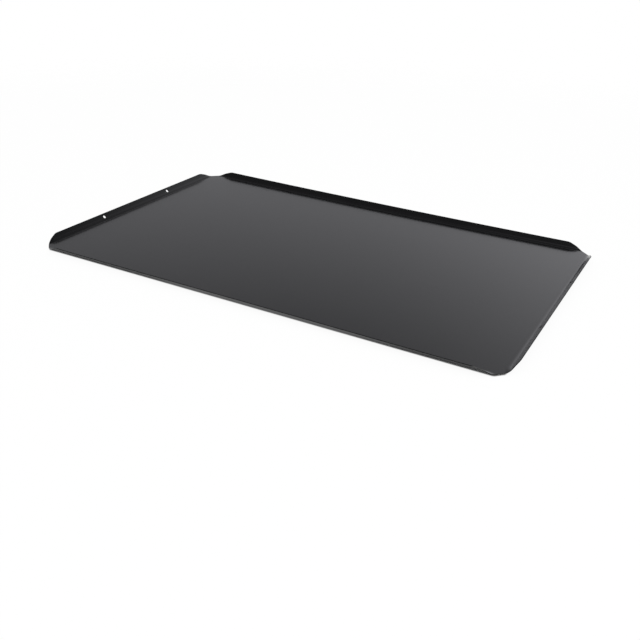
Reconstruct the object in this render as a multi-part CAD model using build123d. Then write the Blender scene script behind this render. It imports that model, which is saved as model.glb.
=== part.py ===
from build123d import *

import math
import os

# Cookie sheet: one steel blank pressed into a flat base with four low raised edges and open
# corners, and coated on both faces. The origin is the middle of the underside, X runs along
# the long edges and Z is up. Lengths are millimetres and angles are degrees.

# The pressed sheet, measured over its lips
sheet_length = 450.0
sheet_width = 281.0
sheet_height = 6.0

# The raised edges: their slope at the lip, and the bend's radius on the baking face
edge_angle = 49.0
bend_radius = 7.0

# The layers, from the underside up
underside_coat = 0.05
steel_gauge = 0.6
baking_coat = 0.05

# The ends of a fold, the line where an edge's bend leaves the base. Reaches are measured along
# the lip from the square corner that the lips would make. From there the fold curves outwards.
fold_end_reach = 20.0
fold_end_radius = 20.0

# The open corners. An edge draws in over its last stretch and ends in a tip. A slanting cut
# joins two tips.
edge_end_reach = 26.0
tip_reach = 13.7
tip_inset = 3.5
edge_end_radius = 15.0
tip_radius = 16.0

# The hanging holes, two in each short edge, set down the slope from the lip
hole_diameter = 3.3
hole_spacing = 100.0
hole_setback = 3.75

# How far the cutting shapes run past the sheet
overrun = 10.0

thickness = underside_coat + steel_gauge + baking_coat
half_length = sheet_length / 2
half_width = sheet_width / 2
slope = math.radians(edge_angle)

# The section of an edge: its height over the base, and the straight stretch above the bend
rise = sheet_height - thickness
straight = (rise - bend_radius * (1 - math.cos(slope))) / math.sin(slope)

# A rounded corner takes at most this share of the shorter line beside it
largest_arc_share = 0.49


def rounding(radius, turn, wall):
    """The radius that rounds a corner, kept small enough for the shorter wall beside it."""
    return min(radius, largest_arc_share * wall / math.tan(turn / 2))


def bend_centre(reach):
    """Where an edge's bend has its centre: outwards from the middle, and up from the underside."""
    out = reach - straight * math.cos(slope) - bend_radius * math.sin(slope)
    return out, thickness + bend_radius


def under_edge(reach, depth, margin):
    """Section of all that lies under one face of a raised edge, outwards from its fold.

    reach is from the middle to the lip, depth is how deep the face lies under the baking face,
    and margin is how far the section runs down. It runs out to where the fold's ends have their
    centre. The bends of all faces share one centre, so a layer keeps its thickness round them.
    """
    radius = bend_radius + depth
    centre_out, centre_up = bend_centre(reach)
    bend_start = (centre_out, centre_up - radius)
    bend_middle = (
        centre_out + radius * math.sin(slope / 2),
        centre_up - radius * math.cos(slope / 2),
    )
    bend_end = (
        centre_out + radius * math.sin(slope),
        centre_up - radius * math.cos(slope),
    )
    out = centre_out + fold_end_radius
    edge_end = (out, bend_end[1] + (out - bend_end[0]) * math.tan(slope))
    section = ThreePointArc(bend_start, bend_middle, bend_end)
    section += Polyline(bend_end, edge_end, (out, -margin), (centre_out, -margin), bend_start)
    return make_face(section)


def raised_edge(half_run, reach, depth, margin):
    """What lies under one face of an edge along X: the straight stretch and its curved ends."""
    section = Plane.YZ * under_edge(reach, depth, margin)
    straight_run = half_run - fold_end_reach
    edge = extrude(section, amount=straight_run, both=True)
    out = bend_centre(reach)[0] + fold_end_radius
    for side in (-1, 1):
        centre_line = Axis((side * straight_run, out, 0), (0, 0, side))
        edge += revolve(Pos(side * straight_run, 0, 0) * section, centre_line, 90)
    return edge


def forming_block(depth, margin):
    """Everything under one face of the sheet: the base and the four raised edges."""
    base = thickness - depth
    block = Pos(0, 0, (base - margin) / 2) * Box(
        sheet_length + 2 * margin,
        sheet_width + 2 * margin,
        base + margin,
    )
    long_edge = raised_edge(half_length, half_width, depth, margin)
    short_edge = raised_edge(half_width, half_length, depth, margin)
    for turn in (0, 180):
        block += Rot(0, 0, turn) * long_edge
        block += Rot(0, 0, turn + 90) * short_edge
    return block


def blank_outline():
    """The sheet's outline seen from above, as a block: lips, drawn-in ends and slanting cuts."""
    end_run = edge_end_reach - tip_reach
    end_turn = math.atan2(tip_inset, end_run)
    cut_turn = math.pi / 4 - end_turn
    end_length = math.hypot(tip_inset, end_run)
    cut_length = math.hypot(tip_reach - tip_inset, tip_reach - tip_inset)
    end_rounding = rounding(edge_end_radius, end_turn, end_length)
    tip_rounding = rounding(tip_radius, cut_turn, min(end_length, cut_length))
    corner = [
        (half_length, half_width - edge_end_reach),
        (half_length - tip_inset, half_width - tip_reach),
        (half_length - tip_reach, half_width - tip_inset),
        (half_length - edge_end_reach, half_width),
    ]
    radii = [end_rounding, tip_rounding, tip_rounding, end_rounding]
    points = list(corner)
    points += [(-x, y) for x, y in reversed(corner)]
    points += [(-x, -y) for x, y in corner]
    points += [(x, -y) for x, y in reversed(corner)]
    outline = make_face(FilletPolyline(*points, radius=radii * 4, close=True))
    height = sheet_height + 2 * overrun
    return Pos(0, 0, -overrun) * extrude(outline, amount=height)


def hanging_holes():
    """Four round holes, each square to the slope where it passes through a short edge."""
    round_bend = max(0, hole_setback - straight)
    up_edge = max(0, straight - hole_setback)
    tilt = slope - round_bend / bend_radius
    centre_out, centre_up = bend_centre(half_length)
    out = centre_out + bend_radius * math.sin(tilt) + up_edge * math.cos(slope)
    up = centre_up - bend_radius * math.cos(tilt) + up_edge * math.sin(slope)
    drill = Cylinder(hole_diameter / 2, 2 * overrun)
    holes = []
    for side in (-1, 1):
        for along in (-hole_spacing / 2, hole_spacing / 2):
            turned = Rot(0, -side * math.degrees(tilt), 0) * drill
            holes.append(Pos(side * out, along, up) * turned)
    return holes


def layer(upper_depth, lower_depth):
    """One layer of the sheet, between two faces given by their depth under the baking face."""
    under_the_upper_face = forming_block(upper_depth, overrun) & blank_outline()
    formed = under_the_upper_face - forming_block(lower_depth, 2 * overrun)
    return formed - hanging_holes()


steel_top = baking_coat
steel_bottom = baking_coat + steel_gauge

parts = {
    "baking_face_coating": layer(0, steel_top),
    "steel_sheet": layer(steel_top, steel_bottom),
    "underside_coating": layer(steel_bottom, thickness),
}

os.makedirs("parts", exist_ok=True)
for name, part in parts.items():
    part.label = name
    export_step(part, f"parts/{name}.step")
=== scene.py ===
import logging
import math
from dataclasses import dataclass, field
from enum import Enum

import bpy
import numpy as np
from mathutils import Matrix, Vector


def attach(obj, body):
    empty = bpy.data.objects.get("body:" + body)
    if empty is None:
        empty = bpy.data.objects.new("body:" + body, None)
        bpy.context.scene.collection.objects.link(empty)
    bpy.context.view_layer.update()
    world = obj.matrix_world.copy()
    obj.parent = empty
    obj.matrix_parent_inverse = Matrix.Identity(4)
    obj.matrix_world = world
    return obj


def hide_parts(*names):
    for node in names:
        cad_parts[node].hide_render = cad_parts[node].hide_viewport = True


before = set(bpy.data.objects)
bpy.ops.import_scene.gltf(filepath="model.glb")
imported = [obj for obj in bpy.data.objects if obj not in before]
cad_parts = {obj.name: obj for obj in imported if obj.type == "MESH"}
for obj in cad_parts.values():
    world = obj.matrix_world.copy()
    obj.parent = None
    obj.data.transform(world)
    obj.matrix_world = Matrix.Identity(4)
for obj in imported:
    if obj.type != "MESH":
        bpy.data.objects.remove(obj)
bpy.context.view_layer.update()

log = logging.getLogger("cookie_sheet")

MM = 0.001

# Points that round to the same multiple of this are one
SAME_POINT = 0.0001 * MM

Colour = tuple[float, float, float]
Range = tuple[float, float]
Shares = tuple[float, float]


# Shader maths and nodes


class Value:
    """A shader socket that plain arithmetic works on."""

    def __init__(self, sheet: "NodeSheet", socket: bpy.types.NodeSocket) -> None:
        """Wraps one output socket of a node sheet."""
        self.sheet = sheet
        self.socket = socket

    def _math(self, operation: str, *values: "Value | float") -> "Value":
        """One Math node on these values."""
        return self.sheet.node("ShaderNodeMath", {"operation": operation}, list(values))[0]

    def __add__(self, other: "Value | float") -> "Value":
        """Sum."""
        return self._math("ADD", self, other)

    def __radd__(self, other: "Value | float") -> "Value":
        """Sum, with the number first."""
        return self._math("ADD", other, self)

    def __sub__(self, other: "Value | float") -> "Value":
        """Difference."""
        return self._math("SUBTRACT", self, other)

    def __rsub__(self, other: "Value | float") -> "Value":
        """Difference, with the number first."""
        return self._math("SUBTRACT", other, self)

    def __mul__(self, other: "Value | float") -> "Value":
        """Product."""
        return self._math("MULTIPLY", self, other)

    def __rmul__(self, other: "Value | float") -> "Value":
        """Product, with the number first."""
        return self._math("MULTIPLY", other, self)

    def __truediv__(self, other: "Value | float") -> "Value":
        """Quotient."""
        return self._math("DIVIDE", self, other)

    def __neg__(self) -> "Value":
        """This value with its sign changed."""
        return self * -1.0

    def __abs__(self) -> "Value":
        """This value without its sign."""
        return self.at_least(-self)

    def turn_from(self, other: "Value") -> "Value":
        """Angle whose tangent is this value over the other, all the way round."""
        return self._math("ARCTAN2", self, other)

    def exp(self) -> "Value":
        """e to the power of this value."""
        return self._math("EXPONENT", self)

    def at_most(self, limit: "Value | float") -> "Value":
        """The smaller of this value and the limit."""
        return self._math("MINIMUM", self, limit)

    def at_least(self, limit: "Value | float") -> "Value":
        """The larger of this value and the limit."""
        return self._math("MAXIMUM", self, limit)

    def rise_over(self, ends: Range) -> "Value":
        """A smooth rise from 0 to 1 over a range of this value.

        Args:
            ends: The range's lower and upper end.

        Returns:
            The rise.
        """
        given = {"Value": self, "From Min": ends[0], "From Max": ends[1]}
        smooth = {"interpolation_type": "SMOOTHSTEP"}
        return self.sheet.node("ShaderNodeMapRange", smooth, given)[0]

    def fall_over(self, ends: Range) -> "Value":
        """A smooth fall from 1 to 0 over a range of this value."""
        return 1 - self.rise_over(ends)


class NodeSheet:
    """The node tree of one material or world, cleared and ready to fill."""

    def __init__(self, owner: "bpy.types.Material | bpy.types.World") -> None:
        """Clears the owner's node tree.

        Args:
            owner: The material or world.
        """
        owner.use_nodes = True
        self.tree = owner.node_tree
        self.tree.nodes.clear()

    def node(
        self,
        kind: str,
        settings: dict[str, object] | None = None,
        inputs: dict[str, object] | list[object] | None = None,
    ) -> list[Value]:
        """Adds a node.

        Args:
            kind: Blender's name for the type of node.
            settings: What is set on the node itself, before its sockets.
            inputs: Numbers, colours or values for its sockets, by name or in order.

        Returns:
            The node's outputs, in order, as values.
        """
        made = self.tree.nodes.new(kind)
        for name, setting in (settings or {}).items():
            setattr(made, name, setting)
        sockets = [socket for socket in made.inputs if socket.enabled]
        if isinstance(inputs, dict):
            named = {socket.name: socket for socket in reversed(sockets)}
            pairs = [(named[name], given) for name, given in inputs.items()]
        else:
            pairs = list(zip(sockets, inputs or []))
        for socket, given in pairs:
            if isinstance(given, Value):
                self.tree.links.new(given.socket, socket)
            else:
                socket.default_value = given
        return [Value(self, socket) for socket in made.outputs if socket.enabled]

    def object_point(self) -> Value:
        """The shaded point in the piece's own space, in metres."""
        return output_of(self.node("ShaderNodeTexCoord"), "Object")

    def parts_of(self, vector: Value) -> list[Value]:
        """The X, Y and Z of a vector."""
        return self.node("ShaderNodeSeparateXYZ", {}, [vector])

    def ray(self, name: str) -> Value:
        """1 for the rays of one kind, such as "Is Camera Ray", and 0 for all others."""
        return output_of(self.node("ShaderNodeLightPath"), name)

    def speckle(self, point: Value, size: float, detail: float = 2.0) -> Value:
        """Noise from 0 to 1 whose blotches measure about size, in metres."""
        inputs = {"Vector": point, "Scale": 1 / size, "Detail": detail, "Roughness": 0.5}
        return self.node("ShaderNodeTexNoise", {}, inputs)[0]

    def stretched(self, point: Value, scale: tuple[float, float, float]) -> Value:
        """The point with each axis multiplied, which stretches a pattern."""
        return self.node("ShaderNodeMapping", {}, {"Vector": point, "Scale": scale})[0]

    def tint(self, mask: Value, low: Colour, high: Colour) -> Value:
        """A colour between two, by a mask from 0 to 1."""
        ends = {"Factor": mask, "A": (*low, 1.0), "B": (*high, 1.0)}
        return self.node("ShaderNodeMix", {"data_type": "RGBA"}, ends)[0]

    def bump(self, height: Value, strength: float, distance: float) -> Value:
        """A normal for a relief whose height goes from 0 to 1 over distance, in metres."""
        inputs = {"Height": height, "Strength": strength, "Distance": distance}
        return self.node("ShaderNodeBump", {}, inputs)[0]

    def mixed(self, share: Value, shader: Value, other: Value) -> Value:
        """A shader, and a share from 0 to 1 of another one."""
        return self.node("ShaderNodeMixShader", {}, [share, shader, other])[0]

    def finish(self, shader: Value, kind: str = "ShaderNodeOutputMaterial") -> None:
        """Ends the sheet in the output node of a material, or of another kind."""
        self.node(kind, {}, {"Surface": shader})


def output_of(outputs: list[Value], name: str) -> Value:
    """The one of a node's outputs that has this name."""
    return next(value for value in outputs if value.socket.name == name)


def weighed(shares: Shares, first: Value, second: Value) -> Value:
    """The sum of two values, each times its share."""
    return shares[0] * first + shares[1] * second


# Finishes


@dataclass(frozen=True)
class BakedCoating:
    """A sprayed and baked black coat: satin, with the fine grain that baking leaves.

    Grain and clouds are noise of those sizes. Shares of the two make the colour, from dark to
    light over the colour's range, and the roughness. The relief takes shares of the grain and
    of a noise that is finer by a factor.
    """

    name: str
    dark: Colour
    light: Colour
    smoothest: float
    roughest: float
    grain: float = 0.45 * MM
    clouds: float = 34 * MM
    cloud_detail: float = 3.0
    finer: float = 3.0
    colour_shares: Shares = (0.65, 0.35)
    colour_range: Range = (0.3, 0.7)
    roughness_shares: Shares = (0.5, 0.5)
    relief_shares: Shares = (0.7, 0.3)
    relief_strength: float = 0.6
    grain_relief: float = 0.004 * MM
    specular_level: float = 0.5
    refraction: float = 1.5

    def material(self) -> bpy.types.Material:
        """Makes the material.

        Returns:
            The material.
        """
        material = bpy.data.materials.new(self.name)
        sheet = NodeSheet(material)
        point = sheet.object_point()
        grain = sheet.speckle(point, self.grain)
        clouds = sheet.speckle(point, self.clouds, self.cloud_detail)
        fine = sheet.speckle(point, self.grain / self.finer)
        mask = weighed(self.colour_shares, grain, clouds).rise_over(self.colour_range)
        spread = self.roughest - self.smoothest
        relief = weighed(self.relief_shares, grain, fine)
        inputs = {
            "Base Color": sheet.tint(mask, self.dark, self.light),
            "Roughness": self.smoothest + spread * weighed(self.roughness_shares, grain, clouds),
            "Normal": sheet.bump(relief, self.relief_strength, self.grain_relief),
            "Specular IOR Level": self.specular_level,
            "IOR": self.refraction,
        }
        sheet.finish(sheet.node("ShaderNodeBsdfPrincipled", {}, inputs)[0])
        return material


@dataclass(frozen=True)
class RolledSteel:
    """Cold-rolled steel: dull grey metal with the mill's grain along the sheet.

    The grain is noise that is stretched along X, and the stains are plain noise of that size.
    Shares of the two make the colour, over the colour's range, and the roughness.
    """

    name: str = "rolled_steel"
    dark: Colour = (0.33, 0.33, 0.34)
    light: Colour = (0.47, 0.47, 0.48)
    smoothest: float = 0.32
    roughest: float = 0.5
    grain: float = 0.25 * MM
    grain_stretch: tuple[float, float, float] = (0.02, 1.0, 1.0)
    stains: float = 22 * MM
    stain_detail: float = 4.0
    shares: Shares = (0.6, 0.4)
    colour_range: Range = (0.3, 0.7)
    relief_strength: float = 0.4
    grain_relief: float = 0.003 * MM

    def material(self) -> bpy.types.Material:
        """Makes the material.

        Returns:
            The material.
        """
        material = bpy.data.materials.new(self.name)
        sheet = NodeSheet(material)
        point = sheet.object_point()
        grain = sheet.speckle(sheet.stretched(point, self.grain_stretch), self.grain)
        stains = sheet.speckle(point, self.stains, self.stain_detail)
        mask = weighed(self.shares, grain, stains)
        inputs = {
            "Base Color": sheet.tint(mask.rise_over(self.colour_range), self.dark, self.light),
            "Metallic": 1.0,
            "Roughness": self.smoothest + (self.roughest - self.smoothest) * mask,
            "Normal": sheet.bump(grain, self.relief_strength, self.grain_relief),
        }
        sheet.finish(sheet.node("ShaderNodeBsdfPrincipled", {}, inputs)[0])
        return material


class Finish(Enum):
    """The finishes of the sheet's layers."""

    NONSTICK = BakedCoating(
        name="nonstick_black",
        dark=(0.0035, 0.0036, 0.004),
        light=(0.0055, 0.0056, 0.006),
        smoothest=0.15,
        roughest=0.2,
    )
    ENAMEL = BakedCoating(
        name="underside_black",
        dark=(0.008, 0.008, 0.009),
        light=(0.012, 0.012, 0.0135),
        smoothest=0.3,
        roughest=0.44,
        grain=0.7 * MM,
        grain_relief=0.006 * MM,
    )
    STEEL = RolledSteel()


# Meshes


def numbered(rows: int, columns: int) -> np.ndarray:
    """The numbers from 0 up, laid out in rows and columns."""
    return np.arange(rows * columns).reshape(rows, columns)


def quads_between(index: np.ndarray, closed: bool = False) -> np.ndarray:
    """The quads between neighbouring rows and columns of numbered points.

    Args:
        index: The points' numbers, in rows and columns.
        closed: Whether the last column joins the first.

    Returns:
        The quads, one a row, as four numbers.
    """
    if closed:
        index = np.concatenate([index, index[:, :1]], 1)
    corners = [index[:-1, :-1], index[1:, :-1], index[1:, 1:], index[:-1, 1:]]
    return np.stack([corner.ravel() for corner in corners], 1)


def placed(name: str, data: bpy.types.ID) -> bpy.types.Object:
    """Makes an object and puts it into the scene.

    Args:
        name: The object's name.
        data: Its mesh, camera or lamp.

    Returns:
        The object.
    """
    made = bpy.data.objects.new(name, data)
    bpy.context.scene.collection.objects.link(made)
    return made


def new_piece(name: str, points: np.ndarray, quads: np.ndarray) -> bpy.types.Object:
    """Makes a smooth mesh piece at the origin.

    Args:
        name: The piece's name.
        points: Its points, one a row, in metres.
        quads: Its faces, one a row, as four numbers of points.

    Returns:
        The piece.
    """
    mesh = bpy.data.meshes.new(name)
    mesh.vertices.add(len(points))
    mesh.vertices.foreach_set("co", points.astype(np.float32).ravel())
    mesh.loops.add(quads.size)
    mesh.loops.foreach_set("vertex_index", quads.astype(np.int32).ravel())
    mesh.polygons.add(len(quads))
    starts = np.arange(len(quads), dtype=np.int32) * quads.shape[1]
    mesh.polygons.foreach_set("loop_start", starts)
    mesh.polygons.foreach_set("use_smooth", np.ones(len(quads), bool))
    mesh.update(calc_edges=True)
    mesh.validate()
    return placed(name, mesh)


# The pressed form


@dataclass(frozen=True)
class PressedForm:
    """The sheet's baking face as a height over its plan, in metres.

    The base is flat. Past each fold the face goes round a bend and then straight up the slope
    to the lip. The origin is the middle of the underside and X runs along the long edges. The
    bow is how far the ends stand over the middle, and the front lift is how far the front lip
    stands higher in its middle. square_on is the least square of a climb's part along Y that
    counts as the front edge's own.
    """

    length: float = 450 * MM
    width: float = 281 * MM
    height: float = 6.05 * MM
    thickness: float = 0.7 * MM
    edge_angle: float = math.radians(49)
    bend_radius: float = 7 * MM
    fold_end_reach: float = 20 * MM
    fold_end_radius: float = 20 * MM
    bow: float = 1.25 * MM
    front_lift: float = 0.8 * MM
    front_lift_reach: float = 205 * MM
    square_on: float = 0.9

    @property
    def reach(self) -> np.ndarray:
        """From the middle to the lips, along X and Y."""
        return np.array([self.length, self.width]) / 2

    @property
    def slope_run(self) -> float:
        """Length of the straight stretch between the bend and the lip, up the slope."""
        bend_rise = self.bend_radius * (1 - math.cos(self.edge_angle))
        return (self.height - self.thickness - bend_rise) / math.sin(self.edge_angle)

    @property
    def edge_run(self) -> float:
        """From a fold to its lip, seen from above."""
        bend = self.bend_radius * math.sin(self.edge_angle)
        return bend + self.slope_run * math.cos(self.edge_angle)

    def past_fold(self, plan: np.ndarray) -> tuple[np.ndarray, np.ndarray]:
        """How far plan points lie past the nearest fold.

        A fold is straight up to where its end begins, and then bends outwards on an arc. With
        the arc's centre held level with the point along the straight stretch, the distance
        past the fold is the arc's radius less the distance to that centre, all along.

        Args:
            plan: Points, one a row, as X and Y.

        Returns:
            The distance of each point, negative on the base, and the plan direction of climb.
        """
        side = np.where(plan < 0, -1.0, 1.0)
        x, y = np.abs(plan).T
        centre = self.reach - self.edge_run + self.fold_end_radius
        straight = self.reach - self.fold_end_reach
        to_long = np.stack([np.minimum(straight[0] - x, 0), centre[1] - y], 1)
        to_short = np.stack([centre[0] - x, np.minimum(straight[1] - y, 0)], 1)
        long_span = np.linalg.norm(to_long, axis=1)
        short_span = np.linalg.norm(to_short, axis=1)
        long_is_nearer = (long_span < short_span)[:, None]
        span = np.minimum(long_span, short_span)
        climb = np.where(long_is_nearer, to_long, to_short) / span[:, None]
        return self.fold_end_radius - span, climb * side

    def face(self, plan: np.ndarray) -> tuple[np.ndarray, np.ndarray]:
        """The baking face over plan points.

        In the bend the height is the bend's radius less the root of that radius squared less
        the distance past the fold squared. Beyond it the height grows by the slope's tangent.
        The bow lifts the face by its size times the square of X over half the length. The
        front edge stands steeper in its middle: its lift there is the square of 1 less the
        square of X over the lift's reach, times the square of how far up the edge a point is.

        Args:
            plan: Points, one a row, as X and Y.

        Returns:
            The points of the face, and its unit normals.
        """
        past, climb = self.past_fold(plan)
        x, y = plan.T
        radius = self.bend_radius
        bend_end = radius * math.sin(self.edge_angle)
        in_bend = np.clip(past, 0, bend_end)
        beyond = np.maximum(past - bend_end, 0) * math.tan(self.edge_angle)
        rise = radius - np.sqrt(radius**2 - in_bend**2) + beyond
        share = x / self.reach[0]
        up_edge = np.clip(past / self.edge_run, 0, 1)
        middling = np.maximum(1 - (x / self.front_lift_reach) ** 2, 0)
        on_front = (y < 0) & (climb[:, 1] ** 2 > self.square_on)
        lift = np.where(on_front, self.front_lift, 0)
        height = self.thickness + rise + self.bow * share**2 + lift * (middling * up_edge) ** 2
        steepness = in_bend / np.sqrt(radius**2 - in_bend**2)
        steepness = steepness + 2 * lift * middling**2 * up_edge / self.edge_run
        gradient = climb * steepness[:, None]
        gradient[:, 0] += 2 * self.bow * share / self.reach[0]
        gradient[:, 0] -= lift * middling * up_edge**2 * 4 * x / self.front_lift_reach**2
        normals = np.column_stack([-gradient, np.ones(len(plan))])
        normals /= np.linalg.norm(normals, axis=1)[:, None]
        return np.column_stack([plan, height]), normals


# The blank and its grid


@dataclass(frozen=True)
class Blank:
    """The sheet's outline with open corners, its holes, and the grid laid over it.

    Reaches at an open corner are from the square corner that the lips would make. The lip's
    rounding stands outside the grid. The rim is the part of the grid that follows an edge, and
    its lines are level up to even_until from the square corner. A hole's rings of cells fill a
    rectangle of the rim, hole_first_row rows from the lip, and ring_crowding below 1 sets them
    closer towards the hole. clearance is a length that is safely under any cell's.
    """

    form: PressedForm = field(default_factory=PressedForm)
    edge_end_reach: float = 26.2 * MM
    tip_reach: float = 13.7 * MM
    tip_inset: float = 3.5 * MM
    edge_end_radius: float = 15 * MM
    tip_radius: float = 16.4 * MM
    hole_radius: float = 1.65 * MM
    hole_spacing: float = 100 * MM
    hole_setback: float = 3.75 * MM
    hole_reach: float = 1.85 * MM
    lip_rounding: float = 0.08 * MM
    lip_row: float = 0.05 * MM
    rim_width: float = 12 * MM
    even_until: float = 60 * MM
    coarse_step: float = 6.5 * MM
    corner_step: float = 1.25 * MM
    clearance: float = 0.01 * MM
    hole_half_patch: float = 3.6 * MM
    hole_columns: int = 8
    hole_first_row: int = 2
    hole_rings: int = 5
    ring_crowding: float = 0.8
    last_ring: float = 0.985
    bend_rows: int = 16
    slope_rows: int = 4
    line_samples: int = 40001
    section_samples: int = 4001

    def edge_line(self, reach: float, half_run: float) -> tuple[np.ndarray, ...]:
        """One lip from its middle to the middle of the corner's cut.

        The line's heading stays level along the lip, turns evenly over each rounding and
        ends at 45 degrees. Its place is the running sum of its heading, less the lip's
        rounding square to it, so that the lines of two edges end at the same point.

        Args:
            reach: From the sheet's middle out to the lip.
            half_run: From the lip's middle to the square corner that the lips would make.

        Returns:
            Distances along the line, and there how far the line is along the lip and out.
        """
        end_run = self.edge_end_reach - self.tip_reach
        end_turn = math.atan2(self.tip_inset, end_run)
        tip_turn = math.pi / 4 - end_turn
        end_bite = self.edge_end_radius * math.tan(end_turn / 2)
        tip_bite = self.tip_radius * math.tan(tip_turn / 2)
        half_cut = (self.tip_reach - self.tip_inset) / math.sqrt(2)
        runs = [
            half_run - self.edge_end_reach - end_bite,
            self.edge_end_radius * end_turn,
            math.hypot(end_run, self.tip_inset) - end_bite - tip_bite,
            self.tip_radius * tip_turn,
            half_cut - tip_bite,
        ]
        marks = np.concatenate([[0.0], np.cumsum(runs)])
        headings = [0.0, 0.0, end_turn, end_turn, math.pi / 4, math.pi / 4]
        way = np.linspace(0, marks[-1], self.line_samples)
        heading = np.interp(way, marks, headings)
        step = way[1] - way[0]
        inset = self.lip_rounding
        along = self._running_sum(np.cos(heading)) * step - inset * np.sin(heading)
        out = reach - self._running_sum(np.sin(heading)) * step - inset * np.cos(heading)
        cut_middle = (self.tip_reach + self.tip_inset) / 2 + inset / math.sqrt(2)
        along[-1], out[-1] = half_run - cut_middle, reach - cut_middle
        return way, along, out

    @staticmethod
    def _running_sum(values: np.ndarray) -> np.ndarray:
        """Sum of the means of neighbouring values, from 0 at the first."""
        return np.concatenate([[0.0], np.cumsum((values[1:] + values[:-1]) / 2)])

    def stations(self, half_run: float, total: float, with_holes: bool) -> np.ndarray:
        """Where grid lines leave a lip, as distances from the lip's middle.

        Args:
            half_run: From the lip's middle to the square corner.
            total: The line's length from its middle to the middle of the cut.
            with_holes: Whether the edge has the two hanging holes.

        Returns:
            The distances on both sides of the middle, from the most negative up.
        """
        even = half_run - self.even_until
        stretches = [np.zeros(1)]
        start = 0.0
        if with_holes:
            first = self.hole_spacing / 2 - self.hole_half_patch
            start = self.hole_spacing / 2 + self.hole_half_patch
            stretches.append(self._stretch(0, first, self.coarse_step))
            stretches.append(np.linspace(first, start, self.hole_columns + 1)[1:])
        if even > start:
            stretches.append(self._stretch(start, even, self.coarse_step))
            start = even
        stretches.append(self._stretch(start, total, self.corner_step))
        half = np.concatenate(stretches)
        return np.concatenate([-half[:0:-1], half])

    @staticmethod
    def _stretch(start: float, end: float, step: float) -> np.ndarray:
        """Even places from start, itself left out, to end, about a step apart."""
        return np.linspace(start, end, max(1, round((end - start) / step)) + 1)[1:]

    def rows(self) -> np.ndarray:
        """Where rows of the grid lie in the rim.

        Rows are even up the slope and by even angles round the bend, with one close by the
        lip, one halfway from the fold to the rim's end, and one there.

        Returns:
            Shares of the rim's width, from the lip inwards.
        """
        form = self.form
        up_slope = np.linspace(0, form.slope_run, self.slope_rows + 1)[1:]
        slope_plan = np.concatenate([[0.0, self.lip_row], up_slope]) * math.cos(form.edge_angle)
        angles = np.linspace(form.edge_angle, 0, self.bend_rows + 1)[1:]
        bend_plan = form.edge_run - form.bend_radius * np.sin(angles)
        base_plan = np.array([(form.edge_run + self.rim_width) / 2, self.rim_width])
        return np.concatenate([slope_plan, bend_plan, base_plan]) / self.rim_width

    def rim(self, axis: int) -> tuple[np.ndarray, np.ndarray]:
        """The rim of one pair of edges, as a grid of plan points, and its inner ends.

        A grid line goes straight from its point of the lip to its point of the inner
        rectangle. There the lines are level with the lip's, and over the last stretch they
        close up evenly, so that the middle of the cut meets the rectangle's corner.

        Args:
            axis: 0 for the edges that run along X and 1 for those along Y.

        Returns:
            Points (rows, columns, 2) as along and out, and the inner ends along the edge.
        """
        half_run = float(self.form.reach[axis])
        reach = float(self.form.reach[1 - axis])
        way, along, out = self.edge_line(reach, half_run)
        stations = self.stations(half_run, way[-1], with_holes=axis == 1)
        distance = np.abs(stations)
        side = np.sign(stations)
        lip = np.stack([np.interp(distance, way, along) * side, np.interp(distance, way, out)], 1)
        even = half_run - self.even_until
        inner_half = half_run - self.rim_width
        inner_along = side * np.interp(distance, [0, even, way[-1]], [0, even, inner_half])
        inner = np.stack([inner_along, np.full(len(side), reach - self.rim_width)], 1)
        share = self.rows()[:, None, None]
        return lip * (1 - share) + inner * share, inner_along

    def grid(self) -> "Grid":
        """Lays the whole grid: the base, four rims and rings of cells round each hole.

        Returns:
            The grid.
        """
        blocks = []
        base_lines = []
        for axis in (0, 1):
            rim, inner_along = self.rim(axis)
            base_lines.append(inner_along)
            for side in (-1, 1):
                cells = quads_between(numbered(*rim.shape[:2]))
                if axis == 1:
                    keep, patches = self.hole_patches(rim, side)
                    cells = cells[keep.ravel()]
                    blocks += patches
                plan = rim.reshape(-1, 2) * (1, side)
                blocks.append((plan if axis == 0 else plan[:, ::-1], cells))
        x, y = np.meshgrid(*base_lines, indexing="ij")
        blocks.append((np.stack([x.ravel(), y.ravel()], 1), quads_between(numbered(*x.shape))))
        quarters = np.array([(x_side, y_side) for x_side in (-1, 1) for y_side in (-1, 1)])
        holes = quarters * (self.hole_section()[2], self.hole_spacing / 2)
        return Grid.joined(blocks, holes, self.hole_reach)

    def hole_section(self) -> tuple[np.ndarray, np.ndarray, float]:
        """The section of a short edge, and the plane that touches it at the holes' middles.

        A hole's middle lies its setback from the lip along the face. A point's place on the
        plane is its distance from the middle times the plane's direction up the slope.

        Returns:
            How far out the section's points are, their places on the plane, and how far out
            the middle is.
        """
        form = self.form
        out = np.linspace(form.reach[0] - self.rim_width, form.reach[0], self.section_samples)
        face, _ = form.face(np.stack([out, np.zeros_like(out)], 1))
        section = face[:, [0, 2]]
        path = np.concatenate([[0.0], np.cumsum(np.hypot(*np.diff(section, axis=0).T))])
        near = path[-1] - self.hole_setback + np.array([-1, 0, 1]) * self.clearance
        below, middle, above = np.stack([np.interp(near, path, k) for k in section.T], 1)
        tangent = (above - below) / np.linalg.norm(above - below)
        return out, (section - middle) @ tangent, float(middle[0])

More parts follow.
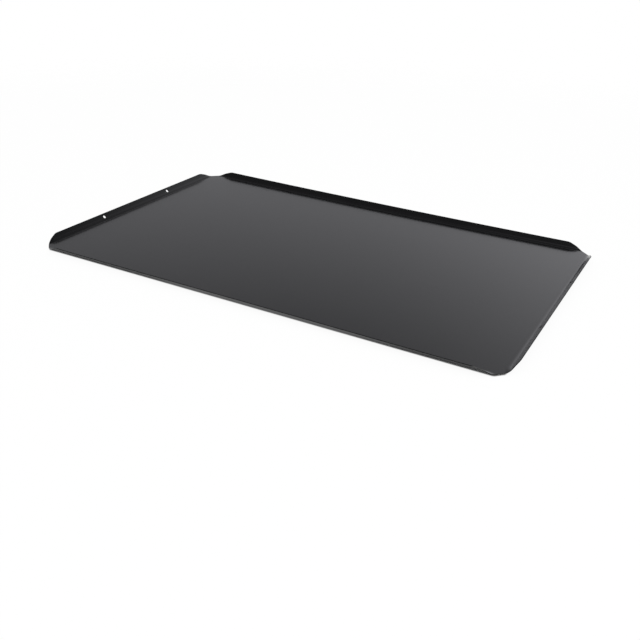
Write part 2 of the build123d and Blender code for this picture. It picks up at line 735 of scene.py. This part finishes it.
    def hole_patches(
        self, rim: np.ndarray, side: int
    ) -> tuple[np.ndarray, list[tuple[np.ndarray, np.ndarray]]]:
        """Rings of cells between a rectangle of the rim's grid and each hole.

        The hole is round on the slope where its middle is, so the rings are worked out on
        the plane that touches the face there: a point's place on it is its distance up the
        tangent and along the edge. Rings go from the rectangle to the circle, by shares that
        are even steps to the power of the crowding, and the last is close by the circle.

        Args:
            rim: The rim's plan points, as along and out.
            side: Which of the two short edges, -1 or 1.

        Returns:
            Which cells of the rim stay, and a block of points and quads for each hole.
        """
        low_row = self.hole_first_row
        high_row = low_row + self.slope_rows - 1 + self.bend_rows // 2
        out, up_tangent, _ = self.hole_section()
        shares = np.linspace(0, 1, self.hole_rings + 1) ** self.ring_crowding
        shares = np.append(shares[:-1], [self.last_ring, 1.0])[:, None, None]
        keep = np.ones((rim.shape[0] - 1, rim.shape[1] - 1), bool)
        patches = []
        for hole in (-1, 1):
            centre = hole * self.hole_spacing / 2
            near = np.abs(rim[0, :, 0] - centre) < self.hole_half_patch + self.clearance
            first, last = np.flatnonzero(near)[[0, -1]]
            keep[low_row:high_row, first:last] = False
            border = self._border(rim[low_row : high_row + 1, first : last + 1])
            up_slope = np.interp(border[:, 1], out, up_tangent)
            flat = np.stack([up_slope, border[:, 0] - centre], 1)
            circle = flat / np.linalg.norm(flat, axis=1)[:, None] * self.hole_radius
            rings = flat * (1 - shares) + circle * shares
            plan_out = np.interp(rings[..., 0], up_tangent, out)
            plan = np.stack([plan_out * side, rings[..., 1] + centre], -1)
            plan[0] = border[:, ::-1] * (side, 1)
            cells = quads_between(numbered(*plan.shape[:2]), closed=True)
            patches.append((plan.reshape(-1, 2), cells))
        return keep, patches

    @staticmethod
    def _border(block: np.ndarray) -> np.ndarray:
        """The points round the border of a grid, in order, each once."""
        sides = [block[0, :-1], block[:-1, -1], block[-1, :0:-1], block[:0:-1, 0]]
        return np.concatenate(sides)


@dataclass(frozen=True)
class Grid:
    """Plan points, quads that turn left seen from above, and the rings that bound them."""

    plan: np.ndarray
    quads: np.ndarray
    rings: list[np.ndarray]

    @classmethod
    def joined(
        cls, blocks: list[tuple[np.ndarray, np.ndarray]], holes: np.ndarray, reach: float
    ) -> "Grid":
        """Joins blocks of points and quads at the points they share.

        Quads that have lost a side go, and the others turn left: twice a quad's area is the
        sum over its corners of X times the next Y less Y times the next X.

        Args:
            blocks: Points and quads of each block.
            holes: The middle of each hole, one a row.
            reach: How far from its middle a hole's points lie at most.

        Returns:
            The grid, with the outline as its first ring.
        """
        starts = np.cumsum([0] + [len(points) for points, _ in blocks[:-1]])
        points = np.concatenate([points for points, _ in blocks])
        quads = np.concatenate([cells + start for (_, cells), start in zip(blocks, starts)])
        keys = np.round(points / SAME_POINT).astype(np.int64)
        _, first, where = np.unique(keys, axis=0, return_index=True, return_inverse=True)
        plan = points[first]
        quads = where.reshape(-1)[quads]
        quads = quads[(quads != np.roll(quads, 1, axis=1)).all(axis=1)]
        x, y = plan[quads, 0], plan[quads, 1]
        turn = (x * np.roll(y, -1, axis=1) - y * np.roll(x, -1, axis=1)).sum(axis=1)
        quads = np.where((turn > 0)[:, None], quads, quads[:, ::-1])
        return cls(plan, quads, cls._bounding_rings(plan, quads, holes, reach))

    @staticmethod
    def _bounding_rings(
        plan: np.ndarray, quads: np.ndarray, holes: np.ndarray, reach: float
    ) -> list[np.ndarray]:
        """The rings of points on the sides that only one quad has.

        A bounding point belongs to a hole when it lies within reach of the hole's middle, and
        otherwise to the outline. A ring goes round its own middle by angle: leftwards for
        the outline, and rightwards for a hole, so that the sheet is always on its left.

        Args:
            plan: All points of the grid.
            quads: Its quads.
            holes: The middle of each hole, one a row.
            reach: How far from its middle a hole's points lie at most.

        Returns:
            The outline, and then each hole, as indices of points.
        """
        sides = np.stack([quads, np.roll(quads, -1, axis=1)], -1).reshape(-1, 2)
        ordered = np.sort(sides, axis=1)
        _, where, count = np.unique(ordered, axis=0, return_inverse=True, return_counts=True)
        points = np.unique(sides[count[where.reshape(-1)] == 1])
        place = plan[points]
        in_hole = np.linalg.norm(place[:, None] - holes[None], axis=2) < reach
        outline = ~in_hole.any(axis=1)
        x, y = place[outline].T
        rings = [points[outline][np.argsort(np.arctan2(y, x))]]
        for own, middle in zip(in_hole.T, holes):
            x, y = (place[own] - middle).T
            rings.append(points[own][np.argsort(-np.arctan2(y, x))])
        return rings


# Layers


@dataclass(frozen=True)
class Layer:
    """One layer of the sheet, as a closed shell between two depths under the baking face.

    rim is the layer's outline in section past the edge of the grid, from its upper face to its
    lower face: pairs of how far out along the face, and how deep.
    """

    name: str
    node: str
    slot: str
    finish: Finish
    top: float
    bottom: float
    rim: np.ndarray

    def build(self, form: PressedForm, grid: Grid) -> bpy.types.Object:
        """Builds the layer's piece, dresses it and puts it in its node's place.

        The upper and lower faces are the baking face moved down its normals by the layer's
        depths, and a band of quads along the rim's rows joins them round each ring.

        Args:
            form: The pressed form.
            grid: The grid that all layers share.

        Returns:
            The piece.
        """
        face, normals = form.face(grid.plan)
        points = [face - normals * self.top, face - normals * self.bottom]
        count = len(face)
        quads = [grid.quads, grid.quads[:, ::-1] + count]
        total = 2 * count
        for ring in grid.rings:
            points.append(self._rim_points(face[ring], normals[ring]))
            rows = total + numbered(len(self.rim), len(ring))
            band = np.concatenate([ring[None], rows, ring[None] + count])
            quads.append(quads_between(band, closed=True))
            total += rows.size
        piece = new_piece(self.name, np.concatenate(points), np.concatenate(quads))
        piece.data.materials.append(self.finish.value.material())
        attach(piece, "root")
        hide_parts(self.node)
        return piece

    def _rim_points(self, ring: np.ndarray, normals: np.ndarray) -> np.ndarray:
        """The rim's rows: each ring point moved outwards along the face and down its normal.

        Outwards is square to the normal and to the line between the ring point's neighbours.

        Args:
            ring: The ring's points on the baking face.
            normals: The face's unit normals there.

        Returns:
            The points, row by row.
        """
        tangent = np.roll(ring, -1, axis=0) - np.roll(ring, 1, axis=0)
        outwards = np.cross(tangent, normals)
        outwards /= np.linalg.norm(outwards, axis=1)[:, None]
        out, depth = self.rim.T[:, :, None, None]
        return (ring + out * outwards - depth * normals).reshape(-1, 3)


def rounding(out: float, depth: float, radius: float, start: float, steps: int) -> np.ndarray:
    """Points on a quarter circle in section, as how far out and how deep.

    Args:
        out: How far out the circle's middle is.
        depth: How deep the circle's middle is.
        radius: The circle's radius.
        start: Where it starts, in quarter turns from straight up towards outwards.
        steps: How many steps the quarter has.

    Returns:
        The points, one a row.
    """
    angle = (start + np.linspace(0, 1, steps + 1)) * math.pi / 2
    return np.stack([out + radius * np.sin(angle), depth - radius * np.cos(angle)], 1)


@dataclass(frozen=True)
class CookieSheet:
    """The whole sheet: steel, a non-stick coat over it and a black coat under it.

    coat is the thickness of each coat. On a cut edge the coats stand out by wrap. There the
    non-stick coat comes down to within overlap of the steel's lower face and ends in a small
    rounding, and the lower coat turns up to meet it. The steel keeps a hair's gap to both,
    and inner corners have a bevel.
    """

    blank: Blank = field(default_factory=Blank)
    coat: float = 0.05 * MM
    gap: float = 0.002 * MM
    wrap: float = 0.11 * MM
    overlap: float = 0.06 * MM
    end_radius: float = 0.02 * MM
    bevel: float = 0.01 * MM
    bead_steps: int = 4
    end_steps: int = 2

    def layers(self) -> list[Layer]:
        """Works out the section of each layer round a cut edge.

        Returns:
            The three layers, from the baking face down.
        """
        sheet = self.blank.form.thickness
        steel_top, steel_bottom = self.coat, sheet - self.coat
        upper, lower = steel_top + self.gap, steel_bottom - self.gap
        wall = self.wrap - self.coat
        join = steel_bottom - self.overlap
        end_out, end_depth = self.wrap - self.end_radius, join - self.end_radius
        bead = rounding(0, self.wrap, self.wrap, 0, self.bead_steps)[1:]
        end = rounding(end_out, end_depth, self.end_radius, 1, self.end_steps)
        inside = [[wall, join], [wall, steel_top + self.bevel], [wall - self.bevel, steel_top]]
        nonstick = np.concatenate([bead, end, inside])
        steel_out = wall - self.gap
        steel = np.array(
            [
                [steel_out - self.bevel, upper],
                [steel_out, upper + self.bevel],
                [steel_out, lower - self.bevel],
                [steel_out - self.bevel, lower],
            ]
        )
        join_below = join + self.bevel
        turned_up = [[wall, steel_bottom], [wall, join_below], [self.wrap, join_below]]
        lower_bead = rounding(0, sheet - self.wrap, self.wrap, 1, self.bead_steps)[:-1]
        enamel = np.concatenate([turned_up, lower_bead])
        return [
            Layer(
                "nonstick_face", "baking_face_coating", "nonstick_coating",
                Finish.NONSTICK, 0.0, steel_top, nonstick,
            ),
            Layer(
                "pressed_steel_sheet", "steel_sheet", "pressed_steel",
                Finish.STEEL, upper, lower, steel,
            ),
            Layer(
                "underside_enamel_coat", "underside_coating", "underside_enamel",
                Finish.ENAMEL, steel_bottom, sheet, enamel,
            ),
        ]

    def build(self) -> list[bpy.types.Object]:
        """Builds every layer on one grid."""
        grid = self.blank.grid()
        return [layer.build(self.blank.form, grid) for layer in self.layers()]


# The studio


@dataclass(frozen=True)
class Camera:
    """The camera, at the place and turn that the photograph gives. Angles are in radians."""

    focal_pixels: float = 809.27
    frame_pixels: float = 640.0
    sensor: float = 36.0
    yaw: float = 0.4883
    pitch: float = 0.4748
    roll: float = 0.0358
    place: tuple[float, float, float] = (333.71 * MM, -626.35 * MM, 291.98 * MM)
    nearest: float = 0.01
    farthest: float = 50

    def build(self) -> bpy.types.Object:
        """Sets up the camera.

        It looks along (-sin yaw cos pitch, cos yaw cos pitch, -sin pitch), and is rolled
        about that line.

        Returns:
            The camera.
        """
        level = math.cos(self.pitch)
        away = (-math.sin(self.yaw) * level, math.cos(self.yaw) * level, -math.sin(self.pitch))
        ahead = Vector(away)
        right = Vector((math.cos(self.yaw), math.sin(self.yaw), 0.0))
        up = right.cross(ahead)
        right_rolled = right * math.cos(self.roll) + up * math.sin(self.roll)
        up_rolled = up * math.cos(self.roll) - right * math.sin(self.roll)
        data = bpy.data.cameras.new("camera")
        data.sensor_width = self.sensor
        data.lens = self.sensor * self.focal_pixels / self.frame_pixels
        data.clip_start = self.nearest
        data.clip_end = self.farthest
        camera = placed("camera", data)
        turn = Matrix((right_rolled, up_rolled, -ahead)).transposed().to_4x4()
        camera.matrix_world = Matrix.Translation(self.place) @ turn
        bpy.context.scene.camera = camera
        return camera


@dataclass(frozen=True)
class Surroundings:
    """White to the camera, soft light on all dull faces, and a formula for the gloss to show.

    Levels are strengths, where 1 is white, and dimmings are shares taken off. A fade is the
    range of heights over which a light falls off upwards. From and until are the ranges of
    turns to the right, in radians, over which a dimming comes and goes.
    """

    white: Colour = (1.0, 1.0, 1.0)
    cool_white: Colour = (0.955, 0.955, 1.0)
    soft_light: float = 0.8
    ceiling_level: float = 0.105
    overhead_level: float = 0.3
    overhead_rise: Range = (0.94, 0.995)
    wall_level: float = 0.435
    wall_fade: Range = (0.32, 0.66)
    horizon_level: float = 0.12
    horizon_fade: Range = (0.15, 0.4)
    glow_level: float = 0.81
    glow_fade: Range = (0.56, 0.79)
    glow_turn: float = -0.118
    glow_width: float = 0.363
    right_dimming: float = 0.446
    right_from: Range = (0.51, 0.6)
    right_until: Range = (1.6, 2.8)
    low_right_dimming: float = 0.85
    low_right_fade: Range = (0.26, 0.5)
    low_right_from: Range = (0.12, 0.3)
    low_right_until: Range = (0.9, 1.6)

    def build(self) -> None:
        """Fills the world.

        z is a direction's height, from -1 straight down to 1 straight up, and right its turn
        to the right of the Y axis. The gloss sees a dim ceiling, a wall and a paler horizon
        that fall off upwards, and a patch straight overhead. Behind the sheet it sees a glow:
        e to the power of minus the square of the turn from the glow's middle over its width.
        All of it is dimmer on the right, and more so low on the right, and at most 1.
        """
        world = bpy.data.worlds.new("surroundings")
        bpy.context.scene.world = world
        sheet = NodeSheet(world)
        x, y, z = sheet.parts_of(sheet.object_point())
        left = (-x).turn_from(y)
        right = -left
        off = (left - self.glow_turn) / self.glow_width
        wall = self.wall_level * z.fall_over(self.wall_fade)
        horizon = self.horizon_level * z.fall_over(self.horizon_fade)
        glow = self.glow_level * z.fall_over(self.glow_fade) * (-(off * off)).exp()
        overhead = self.overhead_level * z.rise_over(self.overhead_rise)
        on_right = right.rise_over(self.right_from) * right.fall_over(self.right_until)
        low_right = right.rise_over(self.low_right_from) * right.fall_over(self.low_right_until)
        low_right *= z.fall_over(self.low_right_fade)
        seen = self.ceiling_level + wall + horizon + glow + overhead
        seen *= 1 - self.right_dimming * on_right
        seen *= 1 - self.low_right_dimming * low_right
        plain = (sheet.ray("Is Camera Ray") + sheet.ray("Is Transmission Ray")).at_most(1.0)
        gloss = sheet.ray("Is Glossy Ray") * (1 - plain)
        strength = plain + gloss * seen.at_most(1.0) + (1 - plain - gloss) * self.soft_light
        light = {"Color": sheet.tint(gloss, self.white, self.cool_white), "Strength": strength}
        sheet.finish(sheet.node("ShaderNodeBackground", {}, light)[0], "ShaderNodeOutputWorld")


@dataclass(frozen=True)
class Floor:
    """A round pale floor that keeps the shadow and fades into the white around it.

    It lies a hair under the sheet. The whites are the shares of plain white in what the
    camera and the gloss see; what the gloss sees of it is painted light. The ranges are in
    metres: how far in under the sheet the floor darkens for each of them, how far inside a
    corner's cut it does, how far from its middle along X the painted light reaches the gloss,
    and how far out it fades.
    """

    blank: Blank = field(default_factory=Blank)
    rings: tuple[float, ...] = (0.3, 0.6, 0.9, 1.2)
    sides: int = 96
    level: float = -0.2 * MM
    colour: Colour = (0.95, 0.95, 0.95)
    white_to_camera: float = 0.93
    white_to_gloss: float = 0.55
    under_to_camera: Range = (4.8 * MM, 6.6 * MM)
    under_to_gloss: Range = (2.5 * MM, 6.5 * MM)
    inside_cut: Range = (0.0, 1 * MM)
    painted_pool_middle: float = 20 * MM
    painted_pool_until: Range = (60 * MM, 150 * MM)
    fade: Range = (0.7, 1.15)

    def build(self) -> bpy.types.Object:
        """Builds the floor: rings of points, each at its radius times its angle's cos and sin.

        Returns:
            The floor.
        """
        angle = np.linspace(0, 2 * math.pi, self.sides + 1)[:-1]
        radius = np.array(self.rings)[:, None]
        level = np.full((len(radius), self.sides), self.level)
        points = np.stack([radius * np.cos(angle), radius * np.sin(angle), level], -1)
        index = numbered(*level.shape)
        faces = quads_between(index, closed=True).tolist() + [index[0].tolist()]
        mesh = bpy.data.meshes.new("floor")
        mesh.from_pydata(points.reshape(-1, 3).tolist(), [], faces)
        mesh.materials.append(self.material())
        floor = placed("floor", mesh)
        return floor

    def material(self) -> bpy.types.Material:
        """White to the camera with a share of the shadow, and fading out.

        Close under the slanting edges it keeps the whole shadow. To the gloss it glows white as
        well, a painted reflection of a lit floor in a band along X round the sheet's middle, and
        painted shadow takes that glow away under the sheet and beside the sheet's ends, which
        stand a little off it, where its shadow is deepest. How far under the sheet a point lies
        is the lesser of its distances from the ends and from the sides. Its distance from the cut
        is their sum less the cut's own, over the root of 2.

        Returns:
            The material.
        """
        material = bpy.data.materials.new("pale_floor")
        sheet = NodeSheet(material)
        point = sheet.object_point()
        measured = sheet.node("ShaderNodeVectorMath", {"operation": "LENGTH"}, [point])
        span = output_of(measured, "Value")
        x, y, _ = sheet.parts_of(point)
        half_length, half_width = (float(half) for half in self.blank.form.reach)
        from_end = half_length - abs(x)
        from_side = half_width - abs(y)
        cut = self.blank.tip_reach + self.blank.tip_inset
        from_cut = (from_end + from_side - cut) / math.sqrt(2)
        under = from_end.at_most(from_side)
        close_under = under.rise_over(self.under_to_camera) * from_cut.rise_over(self.inside_cut)
        # Painted reflection: the floor glows white to the gloss only in a band along X round the
        # sheet's middle, and painted shadow takes the glow away under the sheet and beside its
        # ends.
        painted_pool_along = abs(x - self.painted_pool_middle).fall_over(self.painted_pool_until)
        painted_gloss_pool = under.fall_over(self.under_to_gloss) * painted_pool_along
        to_camera = sheet.ray("Is Camera Ray") * self.white_to_camera * (1 - close_under)
        to_gloss = sheet.ray("Is Glossy Ray") * self.white_to_gloss * painted_gloss_pool
        lit = sheet.node("ShaderNodeBsdfDiffuse", {}, {"Color": (*self.colour, 1.0)})[0]
        white = sheet.node("ShaderNodeEmission", {}, {"Strength": 1.0})[0]
        clear = sheet.node("ShaderNodeBsdfTransparent")[0]
        pale = sheet.mixed(to_camera + to_gloss, lit, white)
        sheet.finish(sheet.mixed(span.rise_over(self.fade), pale, clear))
        return material


@dataclass(frozen=True)
class Lamp:
    """One large soft lamp, high up on the camera's side."""

    place: tuple[float, float, float] = (0.9, -0.9, 1.7)
    size: tuple[float, float] = (1.6, 1.2)
    power: float = 14.0

    def build(self) -> bpy.types.Object:
        """Sets up the lamp, which points at the sheet.

        Returns:
            The lamp.
        """
        data = bpy.data.lights.new("soft_lamp", "AREA")
        data.shape = "RECTANGLE"
        data.size, data.size_y = self.size
        data.energy = self.power
        lamp = placed("soft_lamp", data)
        place = Vector(self.place)
        turn = place.to_track_quat("Z", "Y").to_matrix().to_4x4()
        lamp.matrix_world = Matrix.Translation(place) @ turn
        return lamp


def set_up_studio() -> None:
    """Sets up the camera, the surroundings, the floor and the lamp."""
    bpy.context.scene.view_settings.view_transform = "Standard"
    for part in (Camera(), Surroundings(), Floor(), Lamp()):
        part.build()


def main() -> None:
    """Builds the studio and the sheet, and reports each piece."""
    logging.basicConfig(level=logging.INFO, format="%(name)s: %(message)s")
    set_up_studio()
    for piece in CookieSheet().build():
        log.info("%s: %d faces", piece.name, len(piece.data.polygons))


if __name__ == "__main__":
    main()
